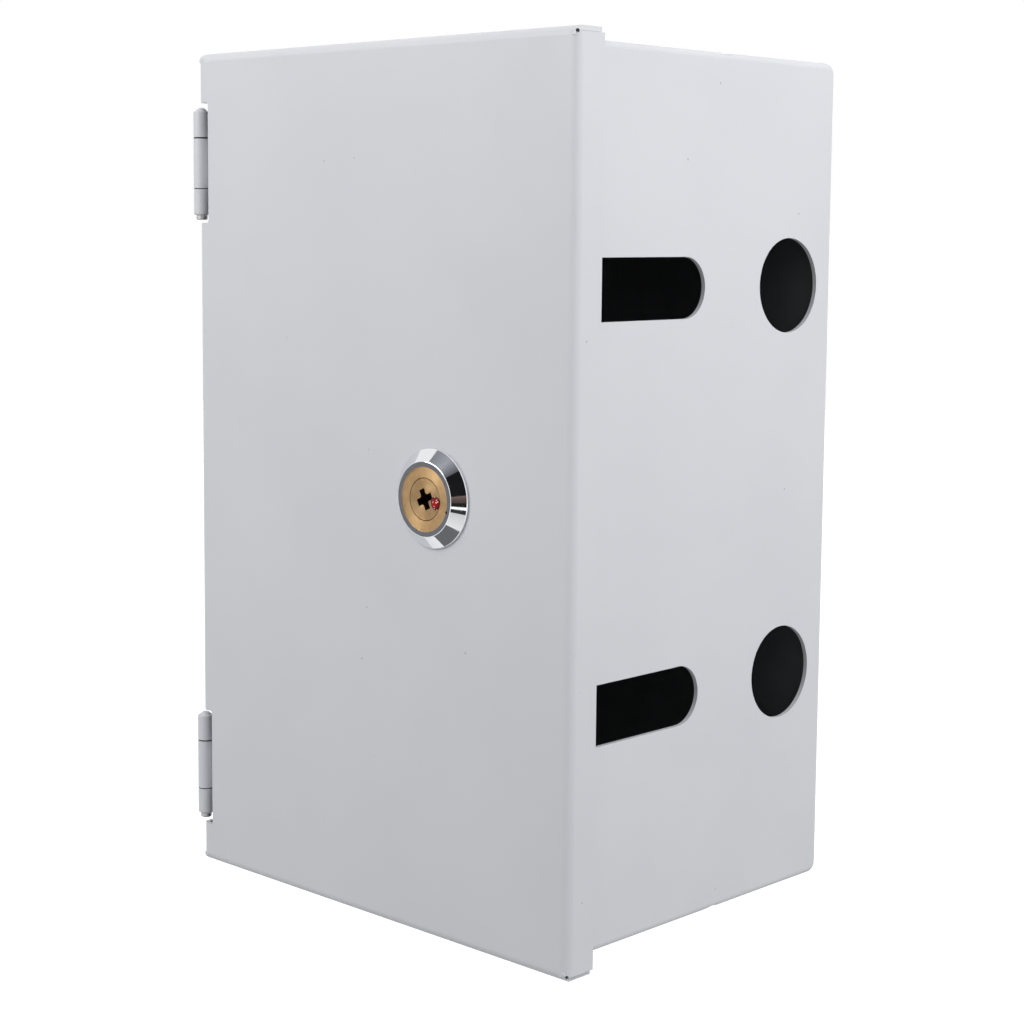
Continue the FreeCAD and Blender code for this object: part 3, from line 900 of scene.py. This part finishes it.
@dataclass
class CamLock:
    """The cross-key lock in the door, with its cam. Its core is duller than the sleeve.

    The punch mark's angle is in degrees, from three o'clock up over twelve.
    """

    shop: Paintshop
    axis: Vector
    handled_bright: Colour = (0.320, 0.208, 0.102)
    handled_dull: Colour = (0.276, 0.174, 0.082)
    stake_angle: float = -18.0

    def stake(self) -> PunchMark:
        """Find the punch mark on the sleeve's rim.

        Returns:
            The mark.
        """
        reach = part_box("lock_sleeve")[1].x - self.axis.x
        angle = math.radians(self.stake_angle)
        return PunchMark(self.axis.x + reach * math.cos(angle), self.axis.z + reach * math.sin(angle))

    def build(self) -> None:
        """Give each of the lock's pieces its finish."""
        x, z = self.axis.x, self.axis.z
        stake = self.stake()
        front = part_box("lock_housing")[0].y
        self.shop.dress(("lock_housing",), PlatedBezel("plated_bezel", x, z, front, stake))
        self.shop.dress(("lock_sleeve", "driver_pins"), TurnedBrass("turned_brass", x, z, stake))
        tones = {"bright": self.handled_bright, "dull": self.handled_dull}
        self.shop.dress(("lock_core", "key_pins"), TurnedBrass("handled_brass", x, z, stake, **tones))
        IndexDrop(self.shop, self.axis).build()
        plated = ("lock_nut", "lock_washer", "stop_washer", "lock_cam", "cam_washer", "cam_screw")
        self.shop.dress(plated, ZINC_PLATE)
        self.shop.dress(("tumbler_springs",), SPRING_WIRE)


@dataclass
class PhotoCamera:
    """The camera at the photograph's viewing angle.

    Angles are in degrees, and level is how far it turns up from looking straight down.
    """

    place: Place = (0.40895, -0.47990, 0.06944)
    level: float = 90.0
    turn: float = 43.766
    tilt: float = -6.139
    roll: float = 0.501
    focal: float = 73.14
    sensor: float = 36.0
    shift_up: float = -0.0625
    near: float = 0.01

    def build(self) -> bpy.types.Object:
        """Set the camera up and make it the scene's own.

        Returns:
            The camera.
        """
        data = bpy.data.cameras.new("photo_camera")
        data.lens = self.focal
        data.sensor_width = self.sensor
        data.shift_y = self.shift_up
        data.clip_start = self.near
        camera = bpy.data.objects.new("photo_camera", data)
        upright = Matrix.Rotation(math.radians(self.level + self.tilt), 4, "X")
        round_z = Matrix.Rotation(math.radians(self.turn), 4, "Z")
        about_view = Matrix.Rotation(math.radians(self.roll), 4, "Z")
        camera.matrix_world = Matrix.Translation(self.place) @ round_z @ upright @ about_view
        bpy.context.scene.collection.objects.link(camera)
        bpy.context.scene.camera = camera
        return camera


@dataclass
class Softbox:
    """A large soft lamp aimed at the box. Its azimuth and height are in degrees."""

    name: str
    azimuth: float
    power: float
    mirrored: bool = True
    height: float = 33.0
    distance: float = 0.70
    width: float = 0.45
    tall: float = 0.45

    def build(self, target: Vector) -> None:
        """Hang the lamp.

        Args:
            target: What it is aimed at.
        """
        data = bpy.data.lights.new(self.name, "AREA")
        data.shape = "RECTANGLE"
        data.size = self.width
        data.size_y = self.tall
        data.energy = self.power
        around, up = math.radians(self.azimuth), math.radians(self.height)
        away = Vector(
            (math.sin(around) * math.cos(up), -math.cos(around) * math.cos(up), math.sin(up))
        )
        lamp = bpy.data.objects.new(self.name, data)
        facing = away.to_track_quat("Z", "Y").to_matrix().to_4x4()
        lamp.matrix_world = Matrix.Translation(target + away * self.distance) @ facing
        lamp.visible_camera = False
        lamp.visible_glossy = self.mirrored
        bpy.context.scene.collection.objects.link(lamp)


@dataclass
class ReflectionCard:
    """A glowing card, seen only by glossy rays, that paints a dark, grey or graded band into the polished
    bezel as a painted reflection.

    The card follows the directions in which the bezel's cone mirrors the camera,
    between two places on the bezel's clock, counted in degrees from three o'clock
    up over twelve.
    """

    name: str
    start: float
    end: float
    tone: Colour
    far_tone: Colour | None = None
    cone_out: float = 0.647
    cone_front: float = 0.762
    reach: float = 0.5
    half_width: float = 0.09
    nudge: float = 1.0
    steps: int = 8

    def direction(self, clock: float, to_camera: Vector) -> Vector:
        """Mirror the camera in the cone.

        Args:
            clock: The place on the bezel, in degrees.
            to_camera: The direction from the lock to the camera.

        Returns:
            The mirrored direction.
        """
        angle = math.radians(clock)
        out = Vector((math.cos(angle), 0.0, math.sin(angle)))
        normal = out * self.cone_out + Vector((0.0, -self.cone_front, 0.0))
        return (2 * normal.dot(to_camera) * normal - to_camera).normalized()

    def spread(self, share: float, across: float, to_camera: Vector) -> Vector:
        """Place a point of the card.

        Args:
            share: How far the point is from start to end.
            across: How far it is from the card's middle line, from minus one to one.
            to_camera: The direction from the lock to the camera.

        Returns:
            Its place, from the lock.
        """
        clock = self.start + (self.end - self.start) * share
        away = self.direction(clock, to_camera)
        side = away.cross(self.direction(clock + self.nudge, to_camera)).normalized()
        return away * self.reach + side * across * self.half_width

    def build(self, lock: Vector, camera: Vector) -> None:
        """Hang the card where only glossy rays meet it, to paint the bezel's reflection.

        Args:
            lock: The lock's place.
            camera: The camera's place.
        """
        to_camera = (camera - lock).normalized()
        near, far = Vector(self.tone), Vector(self.far_tone or self.tone)
        mesh = bmesh.new()
        tones = mesh.verts.layers.float_color.new("tone")
        bmesh.ops.create_grid(mesh, x_segments=self.steps, y_segments=1, size=1.0)
        for vert in mesh.verts:
            share = (vert.co.x + 1) / 2
            vert[tones] = (*near.lerp(far, share), 1.0)
            vert.co = lock + self.spread(share, vert.co.y, to_camera)
        card = settle(mesh, self.name)
        material = bpy.data.materials.new(self.name)
        material.use_nodes = True
        tree = material.node_tree
        tree.nodes.clear()
        glow = tree.nodes.new("ShaderNodeEmission")
        graded = tree.nodes.new("ShaderNodeAttribute")
        graded.attribute_name = "tone"
        tree.links.new(graded.outputs["Color"], glow.inputs["Color"])
        output = tree.nodes.new("ShaderNodeOutputMaterial")
        tree.links.new(glow.outputs[0], output.inputs["Surface"])
        card.data.materials.append(material)
        for ray in ("camera", "diffuse", "transmission", "volume_scatter", "shadow"):
            setattr(card, f"visible_{ray}", False)
        card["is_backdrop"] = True


@dataclass
class Studio:
    """A white surround, soft lamps, a pale floor and the glowing cards that paint the lock's reflections.
    """

    ambient: Colour = (0.342, 0.349, 0.362)
    floor_tone: Colour = (0.80, 0.80, 0.80)
    floor_drop: float = 0.5
    floor_half: float = 6.0
    shadow_reach: float = 0.9
    white_reach: float = 1.7
    shadow_glow: float = 0.45

    def build(self, low: Vector, high: Vector, lock: Vector, camera: Vector) -> None:
        """Set the studio up around the box.

        Args:
            low: The box's lowest corner.
            high: The box's highest corner.
            lock: The lock's place.
            camera: The camera's place.
        """
        middle = (low + high) / 2
        self.surround()
        self.floor(low.z - self.floor_drop)
        for lamp in (
            Softbox("left_softbox", azimuth=-20.0, power=2.80),
            Softbox("front_softbox", azimuth=45.0, power=0.40, mirrored=False),
            Softbox("right_softbox", azimuth=100.0, power=3.35, mirrored=False),
        ):
            lamp.build(middle)
        # Glowing cards placed from the camera's view: painted reflections in the bezel's chrome.
        for flag in (
            ReflectionCard("grey_flag", start=80.5, end=56.0, tone=(0.26, 0.27, 0.29), far_tone=(0.41, 0.42, 0.46)),
            ReflectionCard("shaded_flag", start=56.0, end=38.7, tone=(0.40, 0.41, 0.44), far_tone=(0.12, 0.12, 0.14)),
            ReflectionCard("black_flag", start=38.7, end=9.0, tone=(0.012, 0.012, 0.014)),
            ReflectionCard("brown_flag", start=9.0, end=-0.5, tone=(0.20, 0.14, 0.125), far_tone=(0.04, 0.03, 0.03)),
            ReflectionCard("dark_flag", start=-0.5, end=-5.0, tone=(0.020, 0.020, 0.016)),
            ReflectionCard("slim_flag", start=-8.4, end=-13.8, tone=(0.040, 0.039, 0.038)),
            ReflectionCard("pale_flag", start=-13.8, end=-35.4, tone=(0.72, 0.72, 0.71), far_tone=(0.97, 0.97, 0.97)),
            ReflectionCard("low_flag", start=-35.4, end=-68.0, tone=(0.160, 0.160, 0.168)),
        ):
            flag.build(lock, camera)

    def surround(self) -> None:
        """Light the box evenly, and show plain white to the camera and to gloss."""
        world = bpy.data.worlds.new("studio")
        bpy.context.scene.world = world
        world.use_nodes = True
        tree = world.node_tree
        tree.nodes.clear()
        seen = tree.nodes.new("ShaderNodeBackground")
        seen.inputs["Color"].default_value = (*WHITE, 1.0)
        lit = tree.nodes.new("ShaderNodeBackground")
        lit.inputs["Color"].default_value = (*self.ambient, 1.0)
        self.show_white(tree, lit.outputs[0], seen.outputs[0], "ShaderNodeOutputWorld")

    def show_white(self, tree: bpy.types.NodeTree, lit: Socket, seen: Socket, output: str) -> None:
        """Swap a surface for plain white where a camera, glossy or see-through ray meets it.

        Args:
            tree: The node tree to finish.
            lit: The surface that every other ray meets.
            seen: The plain white.
            output: The kind of output node.
        """
        path = tree.nodes.new("ShaderNodeLightPath")
        first = tree.nodes.new("ShaderNodeMath")
        first.operation = "MAXIMUM"
        tree.links.new(path.outputs["Is Camera Ray"], first.inputs[0])
        tree.links.new(path.outputs["Is Glossy Ray"], first.inputs[1])
        second = tree.nodes.new("ShaderNodeMath")
        second.operation = "MAXIMUM"
        tree.links.new(first.outputs[0], second.inputs[0])
        tree.links.new(path.outputs["Is Transmission Ray"], second.inputs[1])
        mix = tree.nodes.new("ShaderNodeMixShader")
        tree.links.new(second.outputs[0], mix.inputs[0])
        tree.links.new(lit, mix.inputs[1])
        tree.links.new(seen, mix.inputs[2])
        end = tree.nodes.new(output)
        tree.links.new(mix.outputs[0], end.inputs["Surface"])

    def floor(self, height: float) -> None:
        """Lay the floor, which keeps the box's shadow and fades into the white surround.

        Args:
            height: Its level.
        """
        mesh = bmesh.new()
        level = Matrix.Translation((0.0, 0.0, height))
        bmesh.ops.create_grid(mesh, x_segments=1, y_segments=1, size=self.floor_half, matrix=level)
        floor = settle(mesh, "floor")
        material = bpy.data.materials.new("pale_floor")
        material.use_nodes = True
        tree = material.node_tree
        tree.nodes.clear()
        matt = tree.nodes.new("ShaderNodeBsdfDiffuse")
        matt.inputs["Color"].default_value = (*self.floor_tone, 1.0)
        glow = tree.nodes.new("ShaderNodeEmission")
        away = tree.nodes.new("ShaderNodeVectorMath")
        away.operation = "LENGTH"
        tree.links.new(tree.nodes.new("ShaderNodeTexCoord").outputs["Object"], away.inputs[0])
        fade = tree.nodes.new("ShaderNodeMapRange")
        tree.links.new(away.outputs["Value"], fade.inputs["Value"])
        fade.inputs["From Min"].default_value = self.shadow_reach
        fade.inputs["From Max"].default_value = self.white_reach
        fade.inputs["To Min"].default_value = self.shadow_glow
        tree.links.new(fade.outputs["Result"], glow.inputs["Strength"])
        both = tree.nodes.new("ShaderNodeAddShader")
        tree.links.new(matt.outputs[0], both.inputs[0])
        tree.links.new(glow.outputs[0], both.inputs[1])
        self.show_white(tree, matt.outputs[0], both.outputs[0], "ShaderNodeOutputMaterial")
        floor.data.materials.append(material)
        floor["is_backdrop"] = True


def lock_axis(joints: list[dict[str, Any]]) -> Vector:
    """Find the lock's axis from the joint that turns it.

    Args:
        joints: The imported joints.

    Returns:
        A point on the axis, on the door's front.
    """
    joint = next(entry for entry in joints if entry["child"] == Body.CYLINDER.value)
    return Vector(joint["pos_m"])


def main() -> None:
    """Build the picture: the box's pieces in order, then the studio and the camera."""
    logging.basicConfig(level=logging.INFO, format="%(message)s")
    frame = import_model()
    cad_low, cad_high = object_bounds()
    bpy.context.scene.view_settings.view_transform = "Standard"
    shop = Paintshop(frame["nodes"])
    Case(shop).build()
    Door(shop).build()
    for place in ("upper", "lower"):
        Hinge(shop, place).build()
    lock = lock_axis(frame["joints"])
    CamLock(shop, lock).build()
    camera = PhotoCamera().build()
    Studio().build(cad_low, cad_high, lock, camera.matrix_world.translation)


if __name__ == "__main__":
    main()
